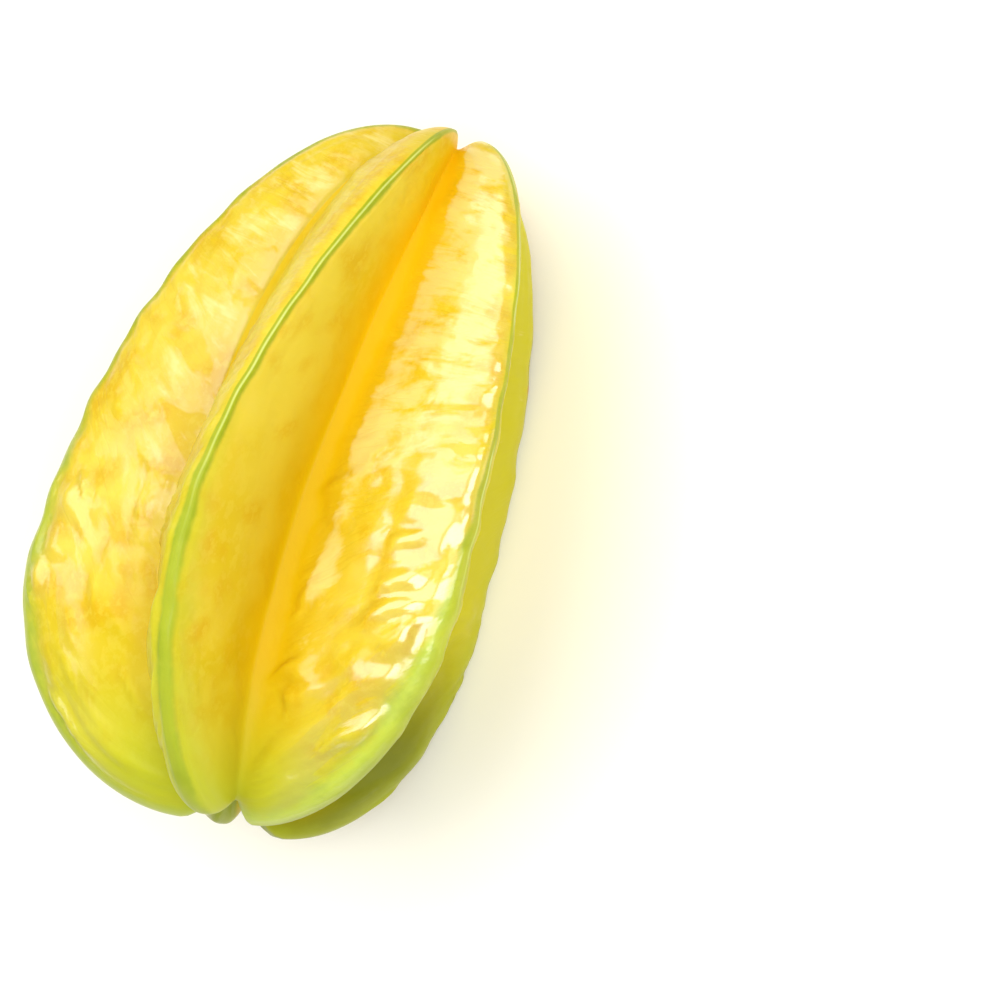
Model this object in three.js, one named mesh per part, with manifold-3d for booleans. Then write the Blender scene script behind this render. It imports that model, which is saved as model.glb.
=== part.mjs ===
// Star fruit (carambola): one ripe fruit with five ribs, lying on two of them.
// Millimetres, +Z up. The origin is on the surface it lies on, under the middle
// of its bounding box. +X runs along the fruit, from its lobed blossom end to
// its narrow stem end.

import * as THREE from "three";
import { mergeVertices } from "three/addons/utils/BufferGeometryUtils.js";
import Module from "manifold-3d";

const wasm = await Module();
wasm.setup();

// ---- Driving dimensions ----

const LENGTH = 110; // blossom end to stem end, along the fruit's own axis
const BOW = 3.8; // how far the axis bends to one side
const BOW_SKEW = 0.57; // above 0, the bend is tightest towards the blossom end
const BOW_TURN = 68; // the side that it bends to, in degrees from the top rib

// The ribs in order round the fruit. turn is where a rib stands, in degrees
// from the upright, growing towards +Y. swing is how many degrees more it
// turns from end to end, and curl how far its middle lags behind its ends.
// full is how full its side is towards the next rib: 0 is hollow, 1 is full.
// reach is the crest's greatest distance from the axis, at belly millimetres
// from the blossom end. At each end the crest stops end millimetres along the
// axis and out millimetres from it, and a higher blunt fills that end out.
const RIBS = [
  {
    turn: 68, swing: 0, curl: 0, full: 1, reach: 39.7, belly: 30,
    blossom: { end: -0.9, out: 7.8, blunt: 1.8 },
    stem: { end: 110, out: 5, blunt: 2.1 },
  },
  {
    turn: -4, swing: -8, curl: -8, full: 0, reach: 38.2, belly: 50,
    blossom: { end: 0.4, out: 10, blunt: 1.75 },
    stem: { end: 111.4, out: 6.8, blunt: 2 },
  },
  {
    turn: -71, swing: 11.5, curl: -3.5, full: 0, reach: 37, belly: 41,
    blossom: { end: -0.8, out: 4.8, blunt: 1.8 },
    stem: { end: 111.6, out: 5.2, blunt: 1.8 },
  },
  {
    turn: -148, swing: 0, curl: 0, full: 0, reach: 35.8, belly: 34,
    blossom: { end: -3, out: 9.5, blunt: 2.05 },
    stem: { end: 108.5, out: 4.7, blunt: 1.85 },
  },
  {
    turn: -218, swing: 0, curl: 0, full: 0, reach: 37, belly: 36,
    blossom: { end: -1.8, out: 8.5, blunt: 1.85 },
    stem: { end: 109.5, out: 5.2, blunt: 1.9 },
  },
];

// The furrow after each rib, measured like a rib. drift moves it off the
// middle between its two ribs, towards the first, in degrees at its middle,
// and gain is what drift grows by from the blossom end to the stem end. soft
// is the share of its depth over which its floor is rounded.
const FURROW_ENDS = {
  blossom: { end: 2.8, out: 4.2, blunt: 2.3 },
  stem: { end: 107, out: 3.6, blunt: 2.1 },
};
const DEEP_FURROW_STEM = { end: 109, out: 3.6, blunt: 2.1 };
const FURROWS = [
  { reach: 22, belly: 65, drift: 0, gain: 18, soft: 0.05, ...FURROW_ENDS },
  { reach: 13.5, belly: 40, drift: 14, gain: 12, soft: 0.2, ...FURROW_ENDS, stem: DEEP_FURROW_STEM },
  { reach: 14, belly: 42, drift: 2, gain: 0, soft: 0.1, ...FURROW_ENDS },
  { reach: 14, belly: 40, drift: 0, gain: 0, soft: 0.1, ...FURROW_ENDS },
  { reach: 14, belly: 42, drift: -2, gain: 0, soft: 0.1, ...FURROW_ENDS },
];

const BLOSSOM_PIT = 4.6; // how far the middle of the blossom end is drawn in
const STEM_PIT = 105.8; // where the middle of the stem end lies on the axis
const PIT_ROUND = 1.5; // above 1, the pits have soft rims

const FLANK = 1.8; // how hollow the ribs' sides are: 1 is flat, 2 is hollow
const FLANK_FULL = 1.3; // the same where full is 1
const FLANK_END = 1.05; // the same at the two ends
const END_ZONE = 0.25; // share of the length over which the sides fill out
const CREST_WIDTH = 3.8; // width over which a rib's edge is rounded, at the blossom end
const CREST_WIDTH_STEM = 1.8; // the same at the stem end
const CREST_SHARE = 0.6; // most of a rib's half that the rounding may take
const LOBE = 1.25; // above 1, the lobes at the ends are broad

// The crests wave in and out a little: height and length of each wave.
const WAVES = [
  { height: 0.18, length: 12.5 },
  { height: 0.12, length: 7.3 },
];
const WAVE_PHASE = 2.4; // from one rib's waves to the next rib's, in radians

const REST_ROLL = -1; // how the fruit settles on its two lower ribs, in degrees
const REST_PITCH = 5.5;
const REST_PRESS = 0.6; // how much of those two ribs is pressed flat

// ---- Mesh density ----

const BODY_STATIONS = 58;
const PIT_STATIONS = 4;
const HALF_RIB_COLUMNS = 7;
const CREST_CROWDING = 1.7; // above 1, columns crowd towards the crest

const { lerp, degToRad, clamp } = THREE.MathUtils;

// A lengthwise outline, for station x between 0 and LENGTH: the distance along
// the axis and the distance out from it.
function outline(line, x) {
  const lower = x <= line.belly;
  const end = lower ? line.blossom : line.stem;
  const u = Math.abs(x - line.belly) / (lower ? line.belly : LENGTH - line.belly);
  return {
    along: lerp(line.belly, end.end, u),
    out: end.out + (line.reach - end.out) * (1 - u ** end.blunt) ** (1 / end.blunt),
  };
}

// The same, carried on into the pit at either end. sink is 1 on the body and
// falls to 0 at the pit's middle.
function sunkOutline(line, { x, sink }) {
  const { along, out } = outline(line, x);
  const pit = x === 0 ? BLOSSOM_PIT : STEM_PIT;
  const rise = Math.sin(sink * Math.PI / 2) ** PIT_ROUND;
  return { along: lerp(pit, along, rise), out: out * sink };
}

// Where round the axis a rib stands at station x, in radians.
function ribTurn(rib, x) {
  const t = x / LENGTH - 0.5;
  return degToRad(rib.turn + rib.swing * t + rib.curl * (4 * t * t - 1 / 3));
}

// How far a furrow lies from the middle between its ribs, in radians.
function furrowDrift(furrow, x) {
  return degToRad(furrow.drift + furrow.gain * (x / LENGTH - 0.5));
}

// How far a crest waves out at a distance along the axis, fading at the ends.
function crestWave(ribIndex, along) {
  const fade = Math.sin(Math.PI * clamp(along / LENGTH, 0, 1));
  return WAVES.reduce((sum, wave, i) => {
    const phase = WAVE_PHASE * ribIndex * (i + 1);
    return sum + fade * wave.height * Math.sin(2 * Math.PI * along / wave.length + phase);
  }, 0);
}

// A value from 0 to 1 that starts level and bends up within round of its start.
function softStart(value, round) {
  return (Math.hypot(value, round) - round) / (Math.hypot(1, round) - round);
}

// How much of the way from furrow to crest a rib's side has risen, at share v
// of the way back from the crest (0) to the furrow (1).
function sideRise(v, full, soft, crestOut, halfAngle, x) {
  const nearEnd = clamp((Math.abs(x / LENGTH - 0.5) - END_ZONE) / (0.5 - END_ZONE), 0, 1);
  const hollow = lerp(lerp(FLANK, FLANK_FULL, full), FLANK_END, nearEnd ** 2);
  const width = lerp(CREST_WIDTH, CREST_WIDTH_STEM, x / LENGTH);
  const edge = Math.min(width / (Math.max(crestOut, 1) * halfAngle), CREST_SHARE);
  return softStart((1 - softStart(v, edge)) ** hollow, soft);
}

// The bowed axis: its offset to the side, and its slope, at a distance along.
function bowAt(along) {
  const t = along / LENGTH;
  const s = t + BOW_SKEW * t * (1 - t);
  const offset = BOW * (1 - (2 * s - 1) ** 2);
  const slope = -4 * BOW * (2 * s - 1) * (1 + BOW_SKEW * (1 - 2 * t)) / LENGTH;
  return { offset, slope };
}

// A point given along, out and round the axis, placed on the bowed fruit.
function place(along, out, turn) {
  const side = new THREE.Vector3(0, Math.sin(degToRad(BOW_TURN)), Math.cos(degToRad(BOW_TURN)));
  const point = new THREE.Vector3(0, out * Math.sin(turn), out * Math.cos(turn));
  const { offset, slope } = bowAt(along);
  const tilt = Math.atan(slope);
  const lean = point.dot(side);
  point.x = along - lean * Math.sin(tilt);
  return point.addScaledVector(side, lean * (Math.cos(tilt) - 1) + offset);
}

// The stations from the blossom pit, along the body, to the stem pit.
function stations() {
  const blossomPit = [];
  const stemPit = [];
  for (let i = 1; i < PIT_STATIONS; i++) {
    blossomPit.push({ x: 0, sink: i / PIT_STATIONS });
    stemPit.unshift({ x: LENGTH, sink: i / PIT_STATIONS });
  }
  const body = [];
  for (let i = 0; i < BODY_STATIONS; i++) {
    const share = i / (BODY_STATIONS - 1);
    body.push({ x: LENGTH * (1 - Math.cos(Math.PI * share)) / 2, sink: 1 });
  }
  return [...blossomPit, ...body, ...stemPit];
}

// The points of one half of a rib at a station. before is true for the half
// that faces the rib before it. Points run in the order of falling turn.
function halfRib(ribIndex, before, station) {
  const count = RIBS.length;
  const rib = RIBS[ribIndex];
  const nextIndex = (ribIndex + (before ? count - 1 : 1)) % count;
  const furrowIndex = before ? nextIndex : ribIndex;
  const furrow = FURROWS[furrowIndex];
  const turn = ribTurn(rib, station.x);
  const gap = Math.abs(ribTurn(RIBS[nextIndex], station.x) - turn);
  const between = gap > Math.PI ? 2 * Math.PI - gap : gap;
  const drift = furrowDrift(furrow, station.x);
  const halfAngle = between / 2 + (before ? drift : -drift);
  const crest = sunkOutline(rib, station);
  const floor = sunkOutline(furrow, station);
  const crestOut = crest.out + crestWave(ribIndex, crest.along) * station.sink;
  const full = before ? 0 : rib.full;

  const points = [];
  for (let j = 0; j < HALF_RIB_COLUMNS; j++) {
    const step = before ? HALF_RIB_COLUMNS - j : j;
    const v = (step / HALF_RIB_COLUMNS) ** CREST_CROWDING;
    const lobe = (1 + Math.cos(Math.PI * v ** LOBE)) / 2;
    points.push(place(
      lerp(floor.along, crest.along, lobe),
      lerp(floor.out, crestOut, sideRise(v, full, furrow.soft, crestOut, halfAngle, station.x)),
      turn + (before ? halfAngle : -halfAngle) * v,
    ));
  }
  return points;
}

// The closed skin: a ring of points at each station, and one at each pole.
function skinGeometry() {
  const rings = stations().map((station) => RIBS.flatMap((_, k) => [
    ...halfRib(k, true, station),
    ...halfRib(k, false, station),
  ]));
  const around = rings[0].length;
  const points = rings.flat();
  const blossomPole = points.push(place(BLOSSOM_PIT, 0, 0)) - 1;
  const stemPole = points.push(place(STEM_PIT, 0, 0)) - 1;

  const triangles = [];
  const lastRing = (rings.length - 1) * around;
  for (let j = 0; j < around; j++) {
    const next = (j + 1) % around;
    triangles.push(blossomPole, next, j);
    triangles.push(stemPole, lastRing + j, lastRing + next);
    for (let ring = 0; ring < lastRing; ring += around) {
      const [a, b] = [ring + j, ring + next];
      triangles.push(a, b + around, a + around);
      triangles.push(a, b, b + around);
    }
  }
  const geometry = new THREE.BufferGeometry().setFromPoints(points);
  geometry.setIndex(triangles);
  return geometry;
}

// A closed geometry as a solid, and a solid as a geometry.
function toSolid(geometry) {
  return new wasm.Manifold(new wasm.Mesh({
    numProp: 3,
    vertProperties: Float32Array.from(geometry.attributes.position.array),
    triVerts: Uint32Array.from(geometry.index.array),
  }));
}

function toGeometry(solid) {
  const { vertProperties, triVerts } = solid.getMesh();
  const geometry = new THREE.BufferGeometry();
  geometry.setAttribute("position", new THREE.BufferAttribute(vertProperties, 3));
  return geometry.setIndex(new THREE.BufferAttribute(triVerts, 1));
}

// The room under the surface that the fruit lies on.
function underSurface() {
  const size = 2 * LENGTH;
  const block = new THREE.BoxGeometry(size, size, size);
  block.deleteAttribute("normal");
  block.deleteAttribute("uv");
  return mergeVertices(block.translate(0, 0, -size / 2));
}

// Lays the fruit on its two lower ribs, presses those flat where they touch
// the surface, and puts the origin under the middle of its box.
function layDown(geometry) {
  geometry.rotateX(degToRad(REST_ROLL));
  geometry.rotateY(degToRad(REST_PITCH));
  geometry.computeBoundingBox();
  geometry.translate(0, 0, -geometry.boundingBox.min.z - REST_PRESS);
  const pressed = toGeometry(toSolid(geometry).subtract(toSolid(underSurface())));
  pressed.computeBoundingBox();
  const middle = pressed.boundingBox.getCenter(new THREE.Vector3());
  return pressed.translate(-middle.x, -middle.y, 0);
}

function makeStarFruit() {
  const geometry = layDown(skinGeometry());
  geometry.computeVertexNormals();
  const skin = new THREE.MeshStandardMaterial({ color: 0xe9c22e, roughness: 0.3, metalness: 0 });
  const mesh = new THREE.Mesh(geometry, skin);
  mesh.name = "star_fruit";
  return mesh;
}

const starFruit = new THREE.Group();
starFruit.add(makeStarFruit());

export default starFruit;
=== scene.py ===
"""Grows the finished star fruit: its fine ribbed surface, its waxy skin and a pale studio stage."""

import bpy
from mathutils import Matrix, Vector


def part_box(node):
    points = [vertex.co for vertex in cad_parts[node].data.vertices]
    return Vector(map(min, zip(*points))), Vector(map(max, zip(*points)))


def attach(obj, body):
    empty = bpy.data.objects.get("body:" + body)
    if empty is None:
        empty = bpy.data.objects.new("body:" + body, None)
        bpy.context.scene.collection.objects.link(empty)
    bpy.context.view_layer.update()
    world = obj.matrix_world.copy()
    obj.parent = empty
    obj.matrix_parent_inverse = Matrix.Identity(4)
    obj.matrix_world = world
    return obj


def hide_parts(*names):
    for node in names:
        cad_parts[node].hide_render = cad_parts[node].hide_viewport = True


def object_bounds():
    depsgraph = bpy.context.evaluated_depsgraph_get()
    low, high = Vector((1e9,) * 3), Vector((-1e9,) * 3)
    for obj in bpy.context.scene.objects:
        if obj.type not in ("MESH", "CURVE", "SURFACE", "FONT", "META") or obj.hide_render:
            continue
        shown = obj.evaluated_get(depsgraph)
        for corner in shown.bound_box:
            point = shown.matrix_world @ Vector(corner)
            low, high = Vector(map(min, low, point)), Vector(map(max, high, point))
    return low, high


bl_info = {
    "name": "Star Fruit",
    "version": (1, 0, 0),
    "blender": (4, 5, 0),
    "location": "3D View > Sidebar > Star Fruit",
    "description": "Grows a ripe star fruit with ribs and a wrinkled waxy skin, on a pale studio floor",
    "category": "Add Mesh",
}

import math
from typing import NamedTuple

import bpy
import numpy as np
from bpy.props import FloatProperty, FloatVectorProperty, IntProperty, PointerProperty
from mathutils import Matrix, Vector, noise

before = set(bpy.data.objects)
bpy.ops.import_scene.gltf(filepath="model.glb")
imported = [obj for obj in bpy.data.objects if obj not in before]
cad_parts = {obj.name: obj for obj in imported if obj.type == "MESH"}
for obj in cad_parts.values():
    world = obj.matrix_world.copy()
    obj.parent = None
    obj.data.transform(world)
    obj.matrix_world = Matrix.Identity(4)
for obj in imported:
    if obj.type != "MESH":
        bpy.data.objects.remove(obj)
CAD_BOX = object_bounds()

NODE = "star_fruit"
PIECE = "star_fruit_skin"
BODY = "root"
MM = 0.001


# ---- The form of the fruit, in millimetres ----


class End(NamedTuple):
    """Where a lengthwise line stops: along the axis, out from it, and how full its corner is."""

    along: float
    out: float
    blunt: float


class Line(NamedTuple):
    """A lengthwise line: its greatest reach from the axis, at belly along it, and its two ends."""

    reach: float
    belly: float
    blossom: End
    stem: End


class Rib(NamedTuple):
    """A rib stands at turn degrees from the upright, growing towards +Y.

    swing is how much more it turns from end to end, and curl how far its middle lags. full is how
    full its side is towards the next rib, from 0, hollow, to 1.
    """

    turn: float
    swing: float
    curl: float
    full: float
    crest: Line


class Furrow(NamedTuple):
    """The furrow after a rib, drift degrees off the middle of its gap towards that rib.

    gain is what the drift grows by from the blossom end to the stem end, and soft the share of its
    depth over which its floor is rounded.
    """

    drift: float
    gain: float
    soft: float
    floor: Line


LENGTH = 110.0
# The axis bows sideways by BOW, towards BOW_TURN degrees, and BOW_SKEW moves the bow's middle.
BOW = 3.8
BOW_SKEW = 0.57
BOW_TURN = 68.0

RIBS = (
    Rib(68, 0, 0, 1, Line(39.7, 30, End(-0.9, 7.8, 1.8), End(110, 5, 2.1))),
    Rib(-4, -8, -8, 0, Line(38.2, 50, End(0.4, 10, 1.75), End(111.4, 6.8, 2))),
    Rib(-71, 11.5, -3.5, 0, Line(37, 41, End(-0.8, 4.8, 1.8), End(111.6, 5.2, 1.8))),
    Rib(-148, 0, 0, 0, Line(35.8, 34, End(-3, 9.5, 2.05), End(108.5, 4.7, 1.85))),
    Rib(-218, 0, 0, 0, Line(37, 36, End(-1.8, 8.5, 1.85), End(109.5, 5.2, 1.9))),
)
FURROW_ENDS = (End(2.8, 4.2, 2.3), End(107, 3.6, 2.1))
FURROWS = (
    Furrow(0, 18, 0.05, Line(22, 65, *FURROW_ENDS)),
    Furrow(14, 12, 0.2, Line(13.5, 40, FURROW_ENDS[0], End(109, 3.6, 2.1))),
    Furrow(2, 0, 0.1, Line(14, 42, *FURROW_ENDS)),
    Furrow(0, 0, 0.1, Line(14, 40, *FURROW_ENDS)),
    Furrow(-2, 0, 0.1, Line(14, 42, *FURROW_ENDS)),
)
# Where the bottoms of the two end pits are along the axis, and how rounded the pits are.
BLOSSOM_PIT = 4.6
STEM_PIT = 105.8
PIT_ROUND = 1.5

# How hollow a rib's side is, where 1 is straight: midway along the fruit, midway on a full side,
# and at the ends. END_ZONE is how far from midway, over the length, it begins to change.
FLANK = 1.8
FLANK_FULL = 1.3
FLANK_END = 1.05
END_ZONE = 0.25
# The rounded crest: its width at each end of the fruit, and the most of a side that it takes up.
CREST_WIDTH = 3.8
CREST_WIDTH_STEM = 1.8
CREST_SHARE = 0.6
# How blunt the lobes are at the ends, from crest to furrow.
LOBE = 1.25
# Waves along the crests: heights and lengths, and the radians between one rib's and the next's.
WAVES = ((0.18, 12.5), (0.12, 7.3))
WAVE_PHASE = 2.4
# How the fruit is turned to lie on its two lower ribs, in degrees.
REST_ROLL = -1.0
REST_PITCH = 5.5

# The columns crowd a little towards each crest, where the surface turns fastest.
CREST_CROWDING = 1.3
# Steps that measure a length, and rounds that find where a slanting crease starts.
DENSE_STEPS = 4000
SLANT_STEPS = 14


def along_and_out(line, x):
    """A lengthwise line at stations x: how far along the axis, and how far out from it."""
    lower = x <= line.belly
    run = np.where(lower, line.belly, LENGTH - line.belly)
    end, out, blunt = (np.where(lower, b, s) for b, s in zip(line.blossom, line.stem))
    u = np.abs(x - line.belly) / run
    fullness = np.clip(1 - u**blunt, 0, 1) ** (1 / blunt)
    return line.belly + u * (end - line.belly), out + (line.reach - out) * fullness


def sunk_line(line, x, sink):
    """The same, carried on into the pit at either end, where sink falls from 1 to 0."""
    along, out = along_and_out(line, x)
    pit = np.where(x < LENGTH / 2, BLOSSOM_PIT, STEM_PIT)
    rise = np.sin(sink * math.pi / 2) ** PIT_ROUND
    return pit + (along - pit) * rise, out * sink


def rib_turn(rib, x):
    """Where a rib stands round the axis, in radians."""
    t = x / LENGTH - 0.5
    return np.radians(rib.turn + rib.swing * t + rib.curl * (4 * t * t - 1 / 3))


def crest_wave(index, along):
    """How far a crest waves out at a distance along the axis, fading at the ends."""
    fade = np.sin(math.pi * np.clip(along / LENGTH, 0, 1))
    waves = (
        height * np.sin(2 * math.pi * along / length + WAVE_PHASE * index * (i + 1))
        for i, (height, length) in enumerate(WAVES)
    )
    return fade * sum(waves)


def soft_start(value, round_share):
    """A value from 0 to 1 that starts level and bends up within a share of its way."""
    return (np.hypot(value, round_share) - round_share) / (np.hypot(1, round_share) - round_share)


def side_rise(share, full, soft, crest_out, half_angle, x):
    """How far a rib's side has risen, at a share of the way back from its crest to the furrow."""
    near_end = np.clip((np.abs(x / LENGTH - 0.5) - END_ZONE) / (0.5 - END_ZONE), 0, 1)
    middle = FLANK + (FLANK_FULL - FLANK) * full
    hollow = middle + (FLANK_END - middle) * near_end**2
    width = CREST_WIDTH + (CREST_WIDTH_STEM - CREST_WIDTH) * x / LENGTH
    edge = np.minimum(width / (np.maximum(crest_out, 1) * half_angle), CREST_SHARE)
    return soft_start(np.clip(1 - soft_start(share, edge), 0, 1) ** hollow, soft)


def placed(along, out, turn):
    """Points given along, out and round the axis, on the bowed fruit."""
    t = along / LENGTH
    s = t + BOW_SKEW * t * (1 - t)
    offset = BOW * (1 - (2 * s - 1) ** 2)
    tilt = np.arctan(-4 * BOW * (2 * s - 1) * (1 + BOW_SKEW * (1 - 2 * t)) / LENGTH)
    side = np.array([math.sin(math.radians(BOW_TURN)), math.cos(math.radians(BOW_TURN))])
    y = out * np.sin(turn)
    z = out * np.cos(turn)
    lean = y * side[0] + z * side[1]
    shift = lean * (np.cos(tilt) - 1) + offset
    return np.stack([along - lean * np.sin(tilt), y + shift * side[0], z + shift * side[1]], -1)


def body_stations(count):
    """Stations along the body, evenly spaced along the crests."""
    dense = LENGTH * (1 - np.cos(np.linspace(0, math.pi, DENSE_STEPS))) / 2
    travelled = np.zeros(DENSE_STEPS)
    for rib in RIBS:
        along, out = along_and_out(rib.crest, dense)
        travelled[1:] += np.cumsum(np.hypot(np.diff(along), np.diff(out)))
    return np.interp(np.linspace(0, travelled[-1], count), travelled, dense)


def stations(body_count, pit_count):
    """Every ring's station and sink, from the blossom pit to the stem pit."""
    falling = np.arange(pit_count, 0, -1) / (pit_count + 1)
    x = np.concatenate([np.zeros(pit_count), body_stations(body_count), np.full(pit_count, LENGTH)])
    sink = np.concatenate([falling[::-1], np.ones(body_count), falling])
    return x[:, None], sink[:, None]


class Skin(NamedTuple):
    """The fruit's surface as a grid, rings first: its points, and where each lies on the fruit."""

    points: np.ndarray
    along: np.ndarray
    share: np.ndarray
    from_crest: np.ndarray
    rib: np.ndarray
    side: np.ndarray
    creases: np.ndarray = None


def half_rib(index, side, x, sink, share):
    """One side of a rib: along, out and turn for each ring and each share back from the crest."""
    count = len(RIBS)
    neighbour = (index - side) % count
    furrow = FURROWS[neighbour if side > 0 else index]
    turn = rib_turn(RIBS[index], x)
    gap = np.abs(rib_turn(RIBS[neighbour], x) - turn)
    between = np.where(gap > math.pi, 2 * math.pi - gap, gap)
    drift = np.radians(furrow.drift + furrow.gain * (x / LENGTH - 0.5))
    half_angle = between / 2 + side * drift
    crest_along, crest_out = sunk_line(RIBS[index].crest, x, sink)
    floor_along, floor_out = sunk_line(furrow.floor, x, sink)
    crest_out = crest_out + crest_wave(index, crest_along) * sink
    lobe = (1 + np.cos(math.pi * share**LOBE)) / 2
    full = RIBS[index].full if side < 0 else 0
    rise = side_rise(share, full, furrow.soft, crest_out, half_angle, x)
    along = floor_along + (crest_along - floor_along) * lobe
    out = floor_out + (crest_out - floor_out) * rise
    return along, out, turn + side * half_angle * share


def smooth_skin(body_count, pit_count, columns):
    """The fruit's surface before its relief."""
    x, sink = stations(body_count, pit_count)
    back = (np.arange(columns + 1) / columns) ** CREST_CROWDING
    parts = []
    for index in range(len(RIBS)):
        for side, share in ((1, back[:0:-1]), (-1, back[:-1])):
            along, out, turn = half_rib(index, side, x, sink, share[None, :])
            points = placed(along, out, turn)
            crest = placed(*half_rib(index, side, x, sink, np.zeros((1, 1))))
            steps = np.linalg.norm(np.diff(points, axis=1), axis=2)
            if side > 0:
                last = np.linalg.norm(points[:, -1:] - crest, axis=2)
                reach = np.concatenate([last, steps[:, ::-1]], 1).cumsum(1)[:, ::-1]
            else:
                reach = np.concatenate([np.zeros_like(steps[:, :1]), steps], 1).cumsum(1)
            flat = np.ones_like(along)
            parts.append((points, along, flat * share, reach, flat * index, flat * side))
    skin = Skin(*(np.concatenate(field, 1) for field in zip(*parts)))
    return skin._replace(creases=crease_place(skin))


def outward(points):
    """Unit normals of a closed grid of rings."""
    across = np.roll(points, 1, 1) - np.roll(points, -1, 1)
    lengthwise = np.gradient(points, axis=0)
    normal = np.cross(lengthwise, across)
    return normal / np.maximum(np.linalg.norm(normal, axis=2, keepdims=True), 1e-9)


# How each side of each rib looks. A pair is a rib's side towards the rib before it, and its side
# towards the rib after it. crisp, waxy, bloom, olive_shade, amber and lime are from 0 to 1:
# how wrinkled and glossy the side is, how strong the pale frosting painted on it as a highlight is,
# how unripe it is and how dark the painted shade on it is, how amber its furrow and how pale its
# rim. deep is how much of its wax goes on into the furrow, and matt how wide a strip beside the rim
# is duller, in mm. The green rim is rim_stem millimetres wide at the stem end, and rim_blossom at
# the blossom end.
SIDES = {
    "crisp": ((0.7, 1), (0.9, 0.12), (1, 0.45), (0.45, 0.6), (0.6, 0.7)),
    "waxy": ((0.8, 0.57), (0.15, 0.06), (1, 0.08), (0.08, 0.6), (0.6, 0.8)),
    "deep": ((0, 1), (0, 0), (0, 0), (0, 0), (0, 0)),
    "matt": ((1, 13), (1, 1), (0, 1), (1, 1), (1, 1)),
    "bloom": ((0.2, 0.38), (0.2, 0), (0.6, 0.1), (0.2, 0.2), (0.2, 0.2)),
    "olive_shade": ((0.3, 0), (0, 0), (0, 0.8), (1, 0.9), (0.9, 0.7)),
    "amber": ((1, 0.2), (0.6, 1), (1, 0.6), (0.6, 1), (1, 1)),
    "lime": ((0.5, 0.5), (0.3, 0.3), (1, 0.4), (0, 0.4), (0.4, 0.5)),
    "rim_stem": ((1, 2), (0.35, 1.2), (0.4, 0.8), (1, 1), (1, 1)),
    "rim_blossom": ((2.5, 5), (1.5, 1.7), (4.3, 2), (1.2, 3), (3, 3)),
}


# ---- How the skin changes from place to place ----

# How rounded the floors of the creases are, as a share of the wrinkles' height, and how long the
# creases are, in mm. The steps from rib to rib and side to side keep two sides from looking alike.
CREASE_ROUND = 0.03
CREASE_RUN = 7
RIB_STEP = 7.7
SIDE_STEP = 3.1


def noise_at(*coordinates):
    """Smooth noise, about -1 to 1, at arrays of coordinates."""
    shape = coordinates[0].shape
    rows = zip(*(np.broadcast_to(c, shape).ravel().tolist() for c in coordinates))
    return np.fromiter((noise.noise(row) for row in rows), float).reshape(shape)


def bell(value, centre, width):
    """A smooth hump of height 1."""
    return np.exp(-(((value - centre) / width) ** 2))


def ramp(value, low, high):
    """A smooth step from 0 at low to 1 at high."""
    t = np.clip((value - low) / (high - low), 0, 1)
    return t * t * (3 - 2 * t)


def crease_gap(start):
    """How far apart creases start along a rim, in mm: closest at the stem end."""
    return 4.6 - 3.1 * ramp(start, 25, 90)


def crease_slope(start):
    """How far creases slant back as they leave the rim: hardly at the stem end, steeply lower down."""
    return 0.1 + 0.8 * (1 - ramp(start, 45, 95)) + 1.7 * (1 - ramp(start, 5, 50))


def crease_place(skin):
    """Places in units of creases: across them, along them, and which side of which rib."""
    start = skin.along
    for _ in range(SLANT_STEPS):
        start = (start + skin.along + crease_slope(start) * skin.from_crest) / 2
    marks = np.linspace(-LENGTH, 3 * LENGTH, DENSE_STEPS)
    counted = np.cumsum(1 / crease_gap(marks)) * (marks[1] - marks[0])
    across = np.interp(start, marks, counted)
    run = skin.from_crest * np.hypot(1, crease_slope(start))
    lane = RIB_STEP * skin.rib + SIDE_STEP * skin.side
    return np.stack([across, run / CREASE_RUN, lane], -1)


def by_side(skin, quality, evened=1.2):
    """One of the sides' qualities over the skin, evened out across the crests over some mm."""
    first, last = np.moveaxis(np.array(SIDES[quality])[skin.rib.astype(int)], -1, 0)
    own = np.where(skin.side > 0, first, last)
    return own + ((first + last) / 2 - own) * bell(skin.from_crest, 0, evened)


def rim_width(skin):
    """How wide the green rim is on each side of a rib, in mm."""
    stem, blossom = (by_side(skin, quality, 0.1) for quality in ("rim_stem", "rim_blossom"))
    return blossom + (stem - blossom) * ramp(skin.along, 15, 72)


def crispness(skin):
    """How wrinkled the skin is: the lower half more than the upper."""
    return by_side(skin, "crisp") * (1.25 - 0.25 * ramp(skin.along, 25, 60))


def waxiness(skin):
    """How waxy the skin is: duller beside the rims, in the furrows and under the pale frosting that is a
    painted highlight.
    """
    lower = 1 - ramp(skin.along, 20, 50)
    shaded = ramp(skin.share, 0.58 - 0.3 * lower, 0.78 - 0.2 * lower)
    furrow = (1 - by_side(skin, "deep") * (1 - lower)) * shaded
    matt = np.maximum(rim_width(skin), by_side(skin, "matt", 0.1) * ramp(skin.along, 25, 55))
    rim = 0.6 * (1 - ramp(skin.from_crest / matt, 0.7, 1.2))
    return by_side(skin, "waxy") * (1 - furrow) * (1 - rim) * (1 - 0.85 * painted_highlight(skin))


def painted_highlight(skin):
    """How strong the painted highlight is: a pale frosting band beside the furrow that widens at the stem
    end.
    """
    deep = by_side(skin, "deep")
    nearest = 0.44 - (0.36 - 0.1 * deep) * ramp(skin.along, 50, 74)
    furthest = 0.56 + 0.24 * deep
    band = ramp(skin.share, nearest - 0.12, nearest + 0.12)
    band = band * (1 - ramp(skin.share, furthest, furthest + 0.16))
    return by_side(skin, "bloom") * band * ramp(skin.along, 18, 42)


def unripeness_and_shade(skin):
    """How unripe the skin is, together with painted shade on the sides that face the floor: least in the
    furrows.
    """
    return by_side(skin, "olive_shade") * (1 - 0.3 * ramp(skin.share, 0.6, 1))


# ---- Relief of the skin, in millimetres ----

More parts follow.
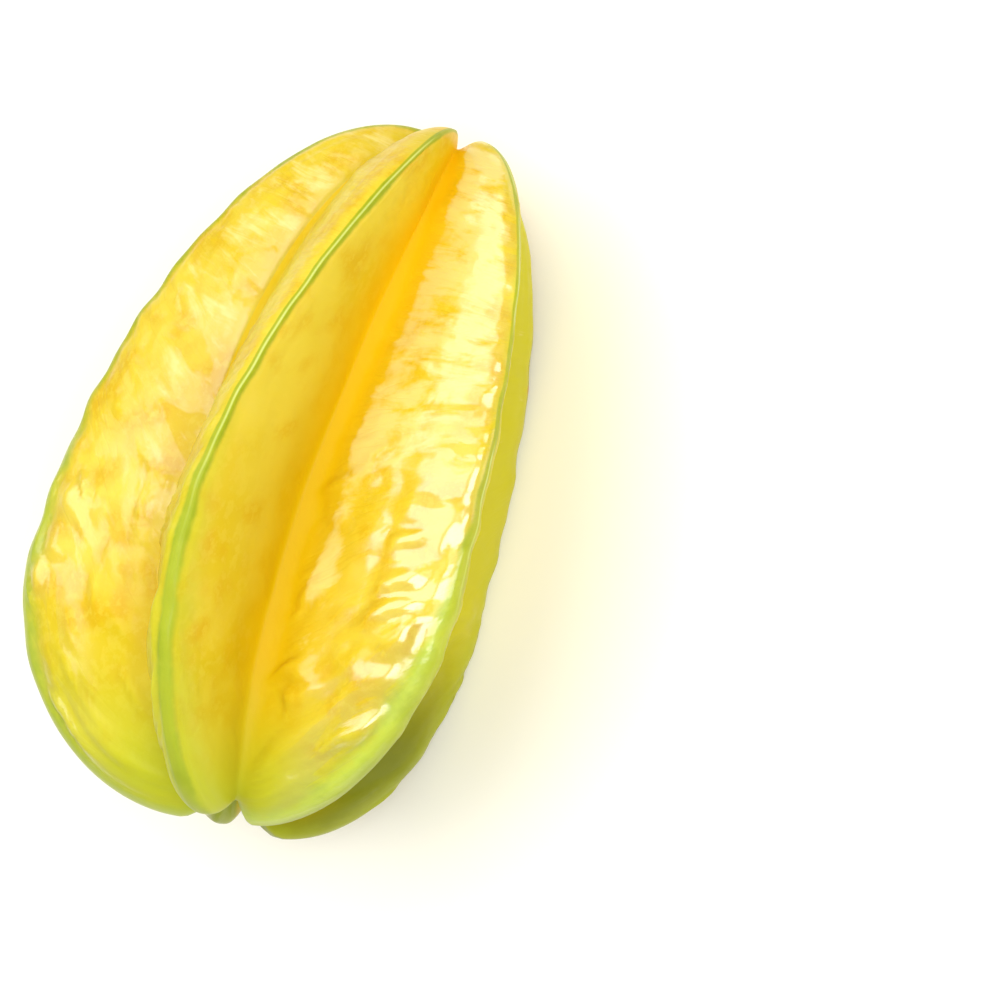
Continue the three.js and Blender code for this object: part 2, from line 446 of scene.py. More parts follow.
# noise_at is given places in units of its bumps' length. What is added to a place keeps two noises
# from being the same, or bends their pattern where it is a warp.


def bulges(value):
    """Rounded bulges with creases between them, from smooth noise."""
    return np.sqrt(value * value + CREASE_ROUND**2)


def rim_relief(skin, shape):
    """The rounded rim of each rib, and the groove that sets it off from the side."""
    patchy = 0.75 + 0.8 * noise_at(skin.along / 14, skin.rib * 5.3, skin.side * 2.1)
    width = rim_width(skin)
    groove = bell(skin.from_crest, width, width * 0.28)
    bead = bell(skin.from_crest, width * 0.55, width * 0.35)
    return shape.rim_groove * width * (0.4 * bead - groove) * np.clip(patchy, 0.15, 1.2)


def swell_relief(skin, shape):
    """Broad soft swells over the sides."""
    x, y, z = np.moveaxis(skin.points, -1, 0)
    broad = noise_at(x / 15, y / 13, z / 13 + 4.7)
    middling = noise_at(x / 7.5 + 9.1, y / 7, z / 7)
    return shape.swell * (0.8 * broad + 0.5 * middling)


def wrinkle_relief(skin, shape):
    """Bulges between creases, with broader dents that break them into patches."""
    across, lengthwise, lane = np.moveaxis(skin.creases, -1, 0)
    warp = noise_at(across / 2.7, lengthwise * 1.1, lane + 20)
    folds = noise_at(across / 1.2 + 0.8 * warp, lengthwise + 0.9 * warp, lane)
    small = noise_at(across * 1.7 + 1.1 * warp, lengthwise * 2.3, lane + 40)
    large = noise_at(across / 2.9 + 0.5 * warp, lengthwise / 1.6, lane + 60)
    strokes = noise_at(across / 1.05 + 0.6 * warp, lengthwise / 1.9, lane + 80)
    patches = ramp(large, -0.25, 0.2)
    lower = 1 - ramp(skin.along, 38, 70)
    dents = (0.6 + 0.5 * lower) * bulges(large)
    brushed = 2.2 * lower * ramp(large, -0.1, 0.15) * bulges(strokes)
    height = dents + brushed + (0.25 + 0.75 * patches) * bulges(folds) + 0.35 * bulges(small)
    gap = crease_gap(skin.along) / np.hypot(1, crease_slope(skin.along))
    return shape.wrinkle * (gap / 2) * crispness(skin) * height


def streak_relief(skin, shape):
    """Fine lengthwise wrinkles in the strip beside each rim, towards the stem end."""
    near_rim = bell(skin.from_crest, 5, 4)
    streaks = noise_at(skin.along / 11, skin.from_crest / 0.95, skin.rib * 3.3 + skin.side)
    return shape.streak * near_rim * streaks * ramp(skin.along, 45, 75)


def dimple_relief(skin, shape):
    """Small round dimples, gathered in patches near the rims."""
    x, y, z = np.moveaxis(skin.points, -1, 0)
    pebbles = noise_at(x / 2.3, y / 2.3, z / 2.3)
    near_rim = ramp(skin.from_crest, 2, 4) * (1 - ramp(skin.from_crest, 9, 15))
    patches = ramp(noise_at(x / 12 + 3.3, y / 12, z / 12), -0.15, 0.25)
    return -shape.dimple * near_rim * patches * np.abs(pebbles)


def skin_relief(skin, shape):
    """All of the relief: none at the ends, and nothing fine on the rims or in the furrow floors."""
    ends = ramp(skin.along, -1, 10) * (1 - ramp(skin.along, 101, 112))
    width = rim_width(skin)
    beside_rim = ramp(skin.from_crest, 0.3 * width, 0.7 + 1.1 * width)
    out_of_furrow = 1 - ramp(skin.share, 0.6, 0.97)
    fine = wrinkle_relief(skin, shape) + dimple_relief(skin, shape) + streak_relief(skin, shape)
    swells = (0.3 + 0.7 * out_of_furrow) * swell_relief(skin, shape)
    return ends * (beside_rim * (out_of_furrow * fine + swells) + rim_relief(skin, shape))


# ---- Meshes ----


def laid_down(points):
    """Turns points from the fruit's own frame to how it lies, and fits them to the solid's box."""
    pitch = Matrix.Rotation(math.radians(REST_PITCH), 3, "Y")
    roll = Matrix.Rotation(math.radians(REST_ROLL), 3, "X")
    lying = points @ np.array((pitch @ roll).transposed()) * MM
    low, high = (np.array(corner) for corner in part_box(NODE))
    lowest, highest = lying.min(0), lying.max(0)
    stretch = (high - low) / (highest - lowest)
    stretch[2] = (stretch[0] + stretch[1]) / 2
    fitted = (lying - (lowest + highest) / 2) * stretch + (low + high) / 2
    fitted[:, 2] += high[2] - fitted[:, 2].max()
    fitted[:, 2] = np.maximum(fitted[:, 2], low[2])
    return fitted


def closed_grid(name, rings, around, points):
    """A closed mesh from a grid of rings whose two poles are the last two points."""
    ring, column = np.meshgrid(np.arange(rings - 1) * around, np.arange(around), indexing="ij")
    beside = (column + 1) % around
    quads = np.stack([ring + column, ring + beside, ring + around + beside, ring + around + column], -1)
    blossom_pole = rings * around
    stem_pole = blossom_pole + 1
    last = (rings - 1) * around
    columns = np.arange(around)
    beside = (columns + 1) % around
    blossom_fan = np.stack([np.full(around, blossom_pole), beside, columns], -1)
    stem_fan = np.stack([np.full(around, stem_pole), last + columns, last + beside], -1)
    faces = quads.reshape(-1, 4).tolist() + blossom_fan.tolist() + stem_fan.tolist()
    mesh = bpy.data.meshes.new(name)
    mesh.from_pydata(points.tolist(), [], faces)
    mesh.shade_smooth()
    return mesh


def skin_fields(skin):
    """The values that the skin is coloured by: over its grid, and at the blossom and stem poles."""
    nothing = np.zeros_like(skin.along)
    axis = placed(skin.along, nothing, nothing)
    return {
        "from_crest": (skin.from_crest, [0, 0]),
        "past_crest": (-skin.side * skin.from_crest, [0, 0]),
        "rim": (skin.from_crest / rim_width(skin), [0, 0]),
        "furrow": (skin.share * by_side(skin, "amber"), [1, 1]),
        "along": (skin.along / LENGTH, [BLOSSOM_PIT / LENGTH, STEM_PIT / LENGTH]),
        "from_axis": (np.linalg.norm(skin.points - axis, axis=2), [0, 0]),
        "crisp": (crispness(skin) * (1 - ramp(skin.share, 0.55, 0.9)), [0, 0]),
        "unripe": (unripeness_and_shade(skin), [0, 0]),
        "waxy": (waxiness(skin), [0, 0]),
        "bloom": (painted_highlight(skin), [0, 0]),
        "lime": (by_side(skin, "lime") * (1 - ramp(skin.along, 33, 66)), [1, 0]),
    }


def add_fields(mesh, skin):
    """Stores the skin's values, and its places in creases, on the points of its mesh."""
    for name, (grid, poles) in skin_fields(skin).items():
        values = np.concatenate([grid.ravel(), poles]).astype(np.float32)
        mesh.attributes.new(name, "FLOAT", "POINT").data.foreach_set("value", values)
    places = np.concatenate([skin.creases.reshape(-1, 3), np.zeros((2, 3))]).astype(np.float32)
    mesh.attributes.new("creases", "FLOAT_VECTOR", "POINT").data.foreach_set("vector", places.ravel())


def fruit_object(shape):
    """The fruit, with its relief and the values that its skin is coloured by."""
    skin = smooth_skin(shape.body_rings, shape.pit_rings, shape.columns)
    relief = skin_relief(skin, shape)
    points = skin.points + outward(skin.points) * relief[..., None]
    poles = placed(np.array([BLOSSOM_PIT, STEM_PIT]), np.zeros(2), np.zeros(2))
    lying = laid_down(np.concatenate([points.reshape(-1, 3), poles]))
    mesh = closed_grid(PIECE, *relief.shape, lying)
    add_fields(mesh, skin)
    piece = bpy.data.objects.new(PIECE, mesh)
    bpy.context.scene.collection.objects.link(piece)
    return piece


# ---- The skin's material ----

# The finest creases: how their pattern is drawn out along them, and how deep they are, in metres.
FOLD_STRETCH = (1.0, 0.4, 1.0)
BUMP_DEPTH = 0.0004
# The numbers of a Mix node's sockets for colours, which share their names with its other sockets.
MIX_SHARE = 0
MIX_FIRST = 6
MIX_SECOND = 7
MIX_RESULT = 2


class Nodes:
    """Adds and joins the nodes of one material."""

    def __init__(self, name):
        self.material = bpy.data.materials.new(name)
        self.material.use_nodes = True
        self.tree = self.material.node_tree
        self.tree.nodes.clear()

    def add(self, kind, inputs=None, **settings):
        """One node. inputs are values, or other nodes' outputs, by socket name or number."""
        node = self.tree.nodes.new(kind)
        for key, value in settings.items():
            setattr(node, key, value)
        for key, value in (inputs or {}).items():
            if isinstance(value, bpy.types.NodeSocket):
                self.tree.links.new(value, node.inputs[key])
            else:
                node.inputs[key].default_value = value
        return node

    def field(self, name):
        """The value of a mesh field."""
        return self.add("ShaderNodeAttribute", attribute_name=name).outputs["Fac"]

    def maths(self, operation, *values):
        """A sum, product or other operation on values."""
        return self.add("ShaderNodeMath", dict(enumerate(values)), operation=operation).outputs[0]

    def ramp(self, value, low, high, low_out=0.0, high_out=1.0):
        """A smooth step between two values."""
        inputs = {"Value": value, "From Min": low, "From Max": high, "To Min": low_out, "To Max": high_out}
        node = self.add("ShaderNodeMapRange", inputs, interpolation_type="SMOOTHSTEP")
        return node.outputs["Result"]

    def mix(self, share, first, second):
        """One colour turning into another."""
        inputs = {MIX_SHARE: share, MIX_FIRST: first, MIX_SECOND: second}
        return self.add("ShaderNodeMix", inputs, data_type="RGBA").outputs[MIX_RESULT]

    def noise(self, place, scale, detail=3.0, roughness=0.5, distortion=0.0):
        """Noise about 0.5. scale is in bumps to the metre, or to the crease for a place in creases."""
        inputs = {"Vector": place, "Scale": scale, "Detail": detail, "Roughness": roughness}
        inputs["Distortion"] = distortion
        return self.add("ShaderNodeTexNoise", inputs).outputs["Fac"]


class Patterns(NamedTuple):
    """What several of the skin's finishes read.

    place is in metres. folds and gaps are noises that follow the creases, mottle and cloud are finer
    and broader noise all over, and along and unripe are values of the mesh, the latter
    being unripeness with painted shade on the sides that face the floor.
    """

    place: bpy.types.NodeSocket
    folds: bpy.types.NodeSocket
    gaps: bpy.types.NodeSocket
    mottle: bpy.types.NodeSocket
    cloud: bpy.types.NodeSocket
    along: bpy.types.NodeSocket
    unripe: bpy.types.NodeSocket


def skin_patterns(nodes):
    """The patterns' nodes, each made once for everything that reads it."""
    place = nodes.add("ShaderNodeTexCoord").outputs["Object"]
    lay = nodes.add("ShaderNodeAttribute", attribute_name="creases").outputs["Vector"]
    stretched = nodes.add("ShaderNodeVectorMath", {0: lay, 1: FOLD_STRETCH}, operation="MULTIPLY")
    return Patterns(
        place=place,
        folds=nodes.noise(stretched.outputs[0], 1.3, 2.0, 0.5, 0.25),
        gaps=nodes.noise(lay, 0.7, 3.0, 0.6, 0.6),
        mottle=nodes.noise(place, 150, 4.0, 0.6),
        cloud=nodes.noise(place, 45, 2.0, 0.5),
        along=nodes.field("along"),
        unripe=nodes.field("unripe"),
    )


def side_colour(nodes, patterns, unripe, look):
    """The ribs' sides: mottled lemon to amber, and olive where they are unripe and where shade is painted on
    the sides that face the floor.
    """
    colour = nodes.mix(nodes.ramp(patterns.cloud, 0.35, 0.65), look.side[:], look.side_pale[:])
    colour = nodes.mix(nodes.ramp(patterns.mottle, 0.45, 0.62, 0.0, 0.8), colour, look.side_deep[:])
    fine = nodes.noise(patterns.place, 600, 3.0, 0.6)
    colour = nodes.mix(nodes.ramp(fine, 0.45, 0.62, 0.0, 0.55), colour, look.side_pale[:])
    return nodes.mix(patterns.unripe, colour, unripe)


def furrow_colour(nodes, patterns, colour, look):
    """Amber deep in the furrows, with painted light that brightens them towards the stem end, where they lie
    in shade.
    """
    unevenness = nodes.maths("MULTIPLY_ADD", patterns.cloud, 0.3, -0.15)
    depth = nodes.maths("ADD", nodes.field("furrow"), unevenness)
    amber = nodes.mix(nodes.ramp(patterns.along, 0.4, 0.85), look.furrow[:], look.painted_light_stem_furrow[:])
    return nodes.mix(nodes.ramp(depth, 0.2, 0.85), colour, amber)


def green_colour(nodes, patterns, colour, look):
    """Green that fades in towards the rims, most of all lower down, and over the blossom end except where
    the unripe olive and painted shade lie.
    """
    lower = nodes.ramp(patterns.along, 0.2, 0.72, 1.0, 0.0)
    unevenness = nodes.maths("MULTIPLY_ADD", patterns.mottle, 5.0, -2.5)
    spread = nodes.maths("MULTIPLY_ADD", lower, look.rim_fade, 1.5)
    off_rim = nodes.maths("ADD", nodes.field("from_crest"), unevenness)
    near_rim = nodes.ramp(nodes.maths("DIVIDE", off_rim, spread), 0.0, 1.0, 1.0, 0.0)
    green = nodes.maths("MULTIPLY", near_rim, nodes.maths("MULTIPLY_ADD", lower, 0.45, 0.2))
    colour = nodes.mix(green, colour, look.green_side[:])
    wavering = nodes.maths("MULTIPLY_ADD", patterns.cloud, 0.12, -0.06)
    blossom_end = nodes.ramp(nodes.maths("ADD", patterns.along, wavering), 0.0, 0.24, 0.9, 0.0)
    ripe_unshaded = nodes.ramp(patterns.unripe, 0.0, 1.0, 1.0, 0.15)
    return nodes.mix(nodes.maths("MULTIPLY", blossom_end, ripe_unshaded), colour, look.green_side[:])


def rim_colour(nodes, patterns, unripe, colour, look):
    """The green rims, palest by the blossom end, and part olive where their sides are unripe and painted
    with shade.
    """
    wavering = nodes.maths("MULTIPLY_ADD", patterns.mottle, 1.1, nodes.field("rim"))
    on_rim = nodes.ramp(wavering, 1.1, 1.85, 1.0, 0.0)
    cover = nodes.maths("MULTIPLY", on_rim, nodes.ramp(patterns.mottle, 0.36, 0.6, 1.0, 0.85))
    mottled = nodes.ramp(patterns.mottle, 0.35, 0.55, 0.7, 1.0)
    paler = nodes.maths("MULTIPLY", nodes.field("lime"), mottled)
    rim = nodes.mix(paler, look.rim[:], look.rim_pale[:])
    rim = nodes.mix(nodes.maths("MULTIPLY", patterns.unripe, 0.6), rim, unripe)
    return nodes.mix(cover, colour, rim)


def painted_crest_highlight(nodes, patterns, colour, look):
    """A painted highlight: the thin pale line along each crest, which comes and goes and ends before the
    blossom end.
    """
    off_line = nodes.maths("ABSOLUTE", nodes.maths("SUBTRACT", nodes.field("past_crest"), 0.25))
    stemward = nodes.ramp(patterns.along, 0.3, 0.6, 0.0, 0.7)
    patchy = nodes.maths("MULTIPLY", nodes.ramp(patterns.cloud, 0.38, 0.5), stemward)
    line = nodes.maths("MULTIPLY", nodes.ramp(off_line, 0.05, 0.25, 1.0, 0.0), patchy)
    return nodes.mix(line, colour, look.painted_crest_highlight[:])


def painted_highlight_colour(nodes, patterns, colour, look):
    """The painted highlight: pale frosting in ragged patches that close up where it is thick."""
    clouds = nodes.maths("MULTIPLY", nodes.noise(patterns.place, 130, 4.0, 0.6), 0.45)
    cover = nodes.maths("ADD", clouds, nodes.maths("MULTIPLY", patterns.gaps, 0.55))
    thick = nodes.maths("MULTIPLY_ADD", nodes.field("bloom"), 0.5, cover)
    patches = nodes.ramp(thick, 0.68, 0.84, 0.0, look.highlight_paint_strength)
    return nodes.mix(patches, colour, look.bloom[:])


def speck_colour(nodes, patterns, colour, look):
    """Small orange-brown specks and scuffs, mostly on the rims."""
    cells = nodes.add("ShaderNodeTexVoronoi", {"Vector": patterns.place, "Scale": 130.0, "Randomness": 1.0})
    near = nodes.ramp(cells.outputs["Distance"], 0.08, 0.2, 1.0, 0.0)
    chosen = nodes.ramp(nodes.noise(patterns.place, 60, 1.0), 0.62, 0.68)
    edge = nodes.ramp(nodes.field("from_crest"), 1.5, 6.0, 1.0, 0.15)
    speck = nodes.maths("MULTIPLY", nodes.maths("MULTIPLY", near, chosen), edge)
    return nodes.mix(nodes.maths("MULTIPLY", speck, 0.8), colour, look.speck[:])


def end_scars(nodes, patterns, look):
    """Where the corky stem scar and the dried blossom scar are, in the middles of the two pits."""
    ragged = nodes.maths("MULTIPLY_ADD", nodes.noise(patterns.place, 700, 3.0), 1.6, -0.8)
    radius = nodes.maths("ADD", nodes.field("from_axis"), ragged)
    return nodes.ramp(radius, look.scar_radius * 0.7, look.scar_radius, 1.0, 0.0)


def skin_colour(nodes, patterns, scars, look):
    """All of the skin's colour, from its sides to what lies on them."""
    unripe = nodes.mix(nodes.ramp(patterns.along, 0.1, 0.4), look.olive_shade[:], look.olive_shade_pale[:])
    colour = side_colour(nodes, patterns, unripe, look)
    colour = furrow_colour(nodes, patterns, colour, look)
    colour = green_colour(nodes, patterns, colour, look)
    colour = rim_colour(nodes, patterns, unripe, colour, look)
    colour = painted_crest_highlight(nodes, patterns, colour, look)
    colour = painted_highlight_colour(nodes, patterns, colour, look)
    colour = speck_colour(nodes, patterns, colour, look)
    return nodes.mix(scars, colour, look.scar[:])


def fine_bumps(nodes, patterns, look):
    """The finest creases and grain, strongest on crisp sides away from the blossom end."""
    folded = nodes.maths("ABSOLUTE", nodes.maths("SUBTRACT", patterns.folds, 0.5))
    grain = nodes.maths("MULTIPLY", nodes.noise(patterns.place, 900, 4.0, 0.55), 0.05)
    pillows = nodes.maths("MULTIPLY_ADD", nodes.ramp(folded, 0.0, 0.07), 0.4, grain)
    height = nodes.maths("MULTIPLY_ADD", folded, 1.2, pillows)
    crisp = nodes.ramp(nodes.field("crisp"), 0.15, 0.9, 0.0, look.bump)
    strength = nodes.maths("MULTIPLY", crisp, nodes.ramp(patterns.along, 0.15, 0.5, 0.15, 0.4))
    inputs = {"Strength": strength, "Distance": BUMP_DEPTH, "Height": height}
    return nodes.add("ShaderNodeBump", inputs).outputs["Normal"]


def wax_coat(nodes, patterns, look):
    """How strong the waxy coat is: patchy, with fewer gaps towards the stem end."""
    closed = nodes.maths("ADD", patterns.gaps, nodes.ramp(patterns.along, 0.2, 0.7, 0.03, 0.07))
    return nodes.maths("MULTIPLY", nodes.field("waxy"), nodes.ramp(closed, 0.46, 0.54, 0.25, look.wax))


def skin_material(look):
    """Waxy, glossy and slightly see-through skin."""
    nodes = Nodes("star_fruit_skin")
    patterns = skin_patterns(nodes)
    scars = end_scars(nodes, patterns, look)
    uneven = nodes.ramp(patterns.folds, 0.3, 0.7, look.roughness - 0.04, look.roughness + 0.06)
    shader = nodes.add("ShaderNodeBsdfPrincipled", {
        "Base Color": skin_colour(nodes, patterns, scars, look),
        "Roughness": nodes.maths("ADD", uneven, nodes.maths("MULTIPLY", scars, 0.5)),
        "Normal": fine_bumps(nodes, patterns, look),
        "IOR": 1.42,
        "Specular IOR Level": 0.12,
        "Subsurface Weight": look.flesh,
        "Subsurface Radius": (1.0, 0.8, 0.2),
        "Subsurface Scale": look.flesh_depth,
        "Coat Weight": wax_coat(nodes, patterns, look),
        "Coat IOR": 2.3,
        "Coat Roughness": 0.18,
    })
    nodes.add("ShaderNodeOutputMaterial", {"Surface": shader.outputs[0]})
    return nodes.material


# ---- The stage ----


class Softbox(NamedTuple):
    """Where a soft light is over a point, and its size, in metres.

    tilt is from straight above and turn about the point, in degrees. slide is how far the light is
    moved sideways.
    """

    turn: float
    tilt: float
    distance: float
    slide: float
    size: tuple


# The lights, named as their powers are in StageLook.
SOFTBOXES = {
    "key": Softbox(turn=0, tilt=16.5, distance=0.6, slide=0.18, size=(0.95, 0.57)),
    "side": Softbox(turn=90, tilt=50.5, distance=0.6, slide=-0.15, size=(0.27, 0.47)),
    "fill": Softbox(turn=-90, tilt=36, distance=0.8, slide=0, size=(0.5, 0.9)),
}
# How dark the floor's patches are, as a share of its colour.
FLOOR_PATCH = 0.985


def floor_object(stage):
    """A pale floor that the fruit lies on."""
    half = stage.floor_size / 2
    mesh = bpy.data.meshes.new("floor")
    corners = [(-half, -half, 0), (half, -half, 0), (half, half, 0), (-half, half, 0)]
    mesh.from_pydata(corners, [], [(0, 1, 2, 3)])
    nodes = Nodes("floor")
    place = nodes.add("ShaderNodeTexCoord").outputs["Object"]
    tone = nodes.ramp(nodes.noise(place, 9, 2.0), 0.3, 0.7)
    red, green, blue, alpha = stage.floor_colour
    patch = (red * FLOOR_PATCH, green * FLOOR_PATCH, blue * FLOOR_PATCH, alpha)
    colour = nodes.mix(tone, stage.floor_colour[:], patch)
    shader = nodes.add("ShaderNodeBsdfPrincipled", {"Base Color": colour, "Roughness": 0.35})
    nodes.add("ShaderNodeOutputMaterial", {"Surface": shader.outputs[0]})
    mesh.materials.append(nodes.material)
    floor = bpy.data.objects.new("floor", mesh)
    bpy.context.scene.collection.objects.link(floor)
    return floor


def softbox_object(name, box, aim, watts):
    """A rectangular soft light that faces a point, slid sideways from it."""
    turn = Matrix.Rotation(math.radians(box.turn), 3, "Z")
    facing = turn @ Matrix.Rotation(math.radians(box.tilt), 3, "Y")
    light = bpy.data.lights.new(name, "AREA")
    light.shape = "RECTANGLE"
    light.size, light.size_y = box.size
    light.energy = watts
    lamp = bpy.data.objects.new(name, light)
    lamp.location = aim + facing @ Vector((0, box.slide, box.distance))
    lamp.rotation_euler = facing.to_euler()
    bpy.context.scene.collection.objects.link(lamp)
    return lamp


def camera_object(stage):
    """A camera that looks down on the fruit, turned so that the fruit stands tilted in the frame."""
    around, up = math.radians(stage.camera_azimuth), math.radians(stage.camera_elevation)
    back = Vector((math.cos(around) * math.cos(up), math.sin(around) * math.cos(up), math.sin(up)))
    level = Vector((0, 0, 1)).cross(back).normalized()
    turn = Matrix.Rotation(math.radians(stage.camera_roll), 3, back)
    right = turn @ level
    top = back.cross(right)
    aim = Vector(stage.camera_aim)
    data = bpy.data.cameras.new("camera")
    data.sensor_width = 36
    data.lens = data.sensor_width * stage.camera_distance / stage.camera_view
    data.clip_start = 0.01
    camera = bpy.data.objects.new("camera", data)
    camera.matrix_world = Matrix((right, top, back)).transposed().to_4x4()
    camera.location = aim + back * stage.camera_distance
    bpy.context.scene.collection.objects.link(camera)
    return camera


# ---- Properties ----


def colour_property(name, description, default):
    """A colour that a user can change."""
    return FloatVectorProperty(
        name=name, description=description, default=(*default, 1.0), subtype="COLOR", size=4, min=0, max=1
    )


class FruitShape(bpy.types.PropertyGroup):
    """Sizes of the skin's relief, and the fineness of its mesh."""

    body_rings: IntProperty(
        name="Body rings", description="Rings of points on the body", default=236, min=24
    )
    pit_rings: IntProperty(
        name="Pit rings", description="Rings of points in each end's pit", default=6, min=2
    )
    columns: IntProperty(name="Columns", description="Columns on each side of a rib", default=40, min=8)
    rim_groove: FloatProperty(
        name="Rim groove", description="Depth of the groove beside a rim, over the rim's width", default=0.12
    )
    swell: FloatProperty(name="Swells", description="Height of the broad swells, in mm", default=0.55)
    wrinkle: FloatProperty(
        name="Wrinkles", description="Height of the wrinkles, over half the gap between creases", default=0.6
    )
    streak: FloatProperty(
        name="Streaks", description="Height of the fine lengthwise wrinkles, in mm", default=0.12
    )
    dimple: FloatProperty(
        name="Dimples", description="Depth of the dimples near the rims, in mm", default=0.3
    )


class FruitLook(bpy.types.PropertyGroup):
    """Colours and gloss of the skin."""

    side: colour_property("Side", "Colour of the ribs' sides", (0.66, 0.47, 0.008))
    side_pale: colour_property("Pale side", "Paler patches on the sides", (0.72, 0.56, 0.045))
    side_deep: colour_property("Deep side", "Deeper mottling on the sides", (0.64, 0.39, 0.005))
    furrow: colour_property("Furrow", "Colour deep in the furrows", (0.68, 0.435, 0.002))
    # The stem furrow colour is painted light: brighter than the furrow lower down, where the furrows lie in
    # shade.
    painted_light_stem_furrow: colour_property(
        "Stem furrow", "Colour deep in the furrows at the stem end", (0.84, 0.52, 0.003)
    )
    green_side: colour_property("Green side", "Side near the rims and the blossom end", (0.46, 0.50, 0.025))
    # The olive colours are unripe skin together with painted shade on the sides that face the floor, darkest
    # by the blossom end.
    olive_shade: colour_property("Olive", "Unripe sides at the blossom end", (0.15, 0.16, 0.001))
    olive_shade_pale: colour_property("Pale olive", "Unripe sides towards the stem end", (0.60, 0.54, 0.02))
    rim: colour_property("Rim", "Colour of the rims at the stem end", (0.29, 0.34, 0.008))
    rim_pale: colour_property("Pale rim", "Colour of the rims at the blossom end", (0.50, 0.60, 0.07))
    # The edge line colour is a painted highlight along the crests.
    painted_crest_highlight: colour_property(
        "Edge line", "Colour of the thin pale line along the edges", (0.62, 0.68, 0.20)
    )
    # The pale frosting colour and its strength are a painted highlight.
    bloom: colour_property("Bloom", "Colour of the pale frosting of wax", (0.80, 0.66, 0.20))
    highlight_paint_strength: FloatProperty(
        name="Bloom strength", description="How strongly the frosting covers the skin", default=0.85, max=1
    )
    speck: colour_property("Specks", "Colour of the specks and scuffs", (0.62, 0.24, 0.02))
    scar: colour_property("Scars", "Colour of the scars at the two ends", (0.12, 0.06, 0.02))
    rim_fade: FloatProperty(
        name="Rim fade", description="How far the green fades in from a rim, in mm", default=7.0
    )
    scar_radius: FloatProperty(
        name="Scar radius", description="Radius of the scars, in mm", default=1.8, min=0.1
    )
    roughness: FloatProperty(
        name="Roughness", description="Roughness of the skin", default=0.36, min=0, max=1
    )
    bump: FloatProperty(
        name="Fine bumps", description="Strength of the finest bumps", default=0.6, min=0, max=1
    )
    flesh: FloatProperty(
        name="Flesh", description="How much light goes through the flesh", default=0.35, max=1
    )
    flesh_depth: FloatProperty(
        name="Flesh depth", description="How deep light goes into the flesh", default=0.004, unit="LENGTH"
    )
    wax: FloatProperty(name="Wax", description="Strength of the waxy coat", default=1, min=0, max=1)


class StageLook(bpy.types.PropertyGroup):
    """The floor, the lights and the camera."""

    floor_size: FloatProperty(
        name="Floor size", description="Side of the floor", default=3.0, unit="LENGTH"
    )
    floor_colour: colour_property("Floor", "Colour of the floor", (0.96, 0.935, 0.83))
    sky: FloatProperty(
        name="Sky", description="Brightness of the even light from all round", default=0.38, min=0
    )
    key: FloatProperty(
        name="Key light", description="Power of the main softbox, in watts", default=3.3, min=0
    )
    side: FloatProperty(
        name="Side light", description="Power of the second softbox, in watts", default=0.65, min=0
    )
    fill: FloatProperty(
        name="Fill light", description="Power of the fill light, in watts", default=5.7, min=0
    )
    camera_azimuth: FloatProperty(name="Camera azimuth", description="Degrees round from +X", default=-78.4)
    camera_elevation: FloatProperty(
        name="Camera elevation", description="Degrees above the floor", default=64.4
    )
    camera_roll: FloatProperty(
        name="Camera roll", description="Turn about the line of sight", default=-83.8
    )
    camera_distance: FloatProperty(
        name="Camera distance", description="From the aim", default=0.7, unit="LENGTH"
    )
    camera_view: FloatProperty(
        name="View width", description="Width seen at the aim", default=0.155, unit="LENGTH"
    )
    camera_aim: FloatVectorProperty(
        name="Camera aim", description="Point in the middle of the frame", default=(0.0045, -0.0259, 0.0169),
        size=3, subtype="TRANSLATION", unit="LENGTH",
    )


# ---- Operators and panel ----


class STARFRUIT_OT_grow_fruit(bpy.types.Operator):
    """Grow the fruit and its skin in place of the plain solid"""

    bl_idname = "starfruit.grow_fruit"
    bl_label = "Grow Star Fruit"

    def execute(self, context):
        piece = fruit_object(context.scene.star_fruit_shape)
        piece.data.materials.append(skin_material(context.scene.star_fruit_look))
        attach(piece, BODY)
        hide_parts(NODE)
        return {"FINISHED"}


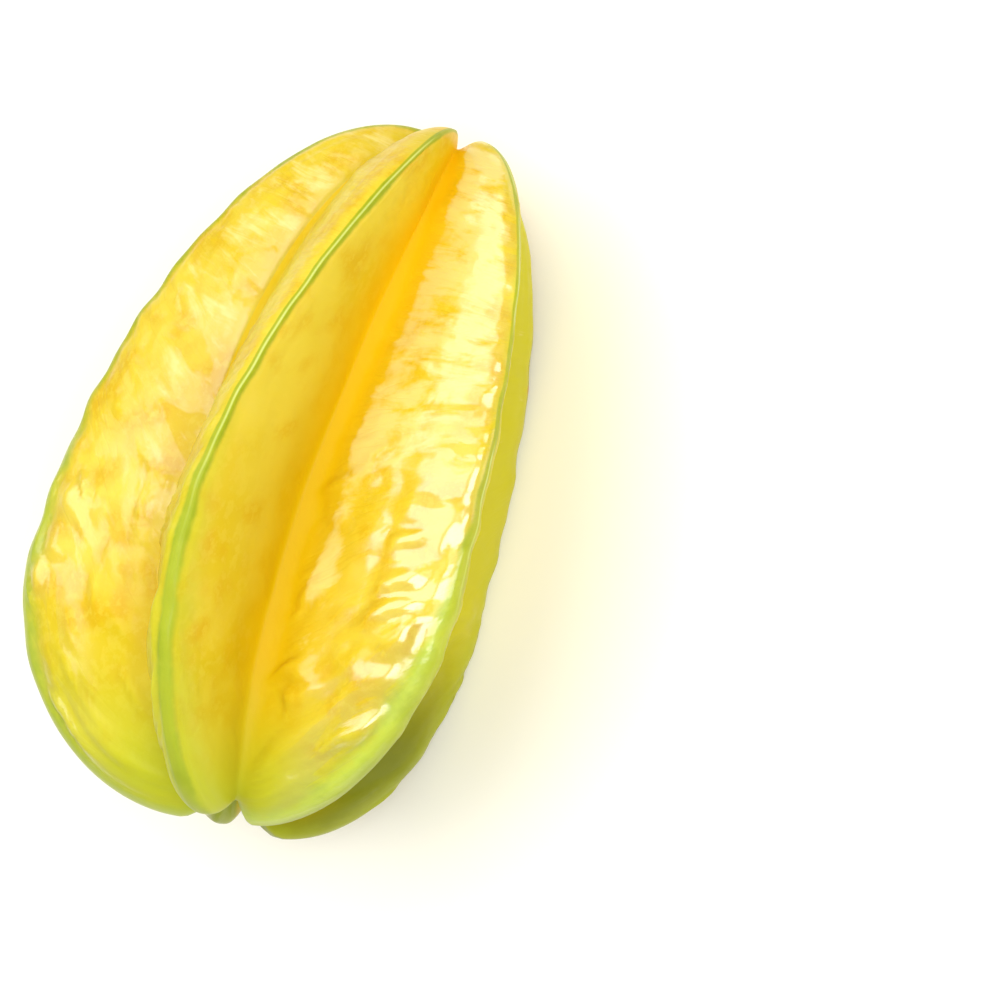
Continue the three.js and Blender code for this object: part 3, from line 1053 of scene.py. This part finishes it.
class STARFRUIT_OT_set_stage(bpy.types.Operator):
    """Set the pale floor, the soft lights and the camera"""

    bl_idname = "starfruit.set_stage"
    bl_label = "Set Stage"

    def execute(self, context):
        stage = context.scene.star_fruit_stage
        floor_object(stage)
        middle = (CAD_BOX[0] + CAD_BOX[1]) / 2
        for name, box in SOFTBOXES.items():
            softbox_object(f"{name}_light", box, middle, getattr(stage, name))
        context.scene.camera = camera_object(stage)
        world = bpy.data.worlds.new("studio")
        world.use_nodes = True
        sky = world.node_tree.nodes["Background"]
        sky.inputs["Color"].default_value = (1, 1, 1, 1)
        sky.inputs["Strength"].default_value = stage.sky
        context.scene.world = world
        context.scene.view_settings.view_transform = "Standard"
        return {"FINISHED"}


class STARFRUIT_PT_panel(bpy.types.Panel):
    """Buttons and settings for the star fruit"""

    bl_idname = "STARFRUIT_PT_panel"
    bl_label = "Star Fruit"
    bl_space_type = "VIEW_3D"
    bl_region_type = "UI"
    bl_category = "Star Fruit"

    def draw(self, context):
        for operator, settings in (
            (STARFRUIT_OT_grow_fruit, ("star_fruit_shape", "star_fruit_look")),
            (STARFRUIT_OT_set_stage, ("star_fruit_stage",)),
        ):
            self.layout.operator(operator.bl_idname)
            for name in settings:
                group = getattr(context.scene, name)
                for key in group.__annotations__:
                    self.layout.prop(group, key)


GROUPS = {"star_fruit_shape": FruitShape, "star_fruit_look": FruitLook, "star_fruit_stage": StageLook}
CLASSES = (*GROUPS.values(), STARFRUIT_OT_grow_fruit, STARFRUIT_OT_set_stage, STARFRUIT_PT_panel)


def register():
    for cls in CLASSES:
        bpy.utils.register_class(cls)
    for name, group in GROUPS.items():
        setattr(bpy.types.Scene, name, PointerProperty(type=group))


def unregister():
    for name in GROUPS:
        delattr(bpy.types.Scene, name)
    for cls in reversed(CLASSES):
        bpy.utils.unregister_class(cls)


def main():
    """Registers the classes, grows the fruit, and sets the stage."""
    register()
    bpy.ops.starfruit.grow_fruit()
    bpy.ops.starfruit.set_stage()


if __name__ == "__main__":
    main()
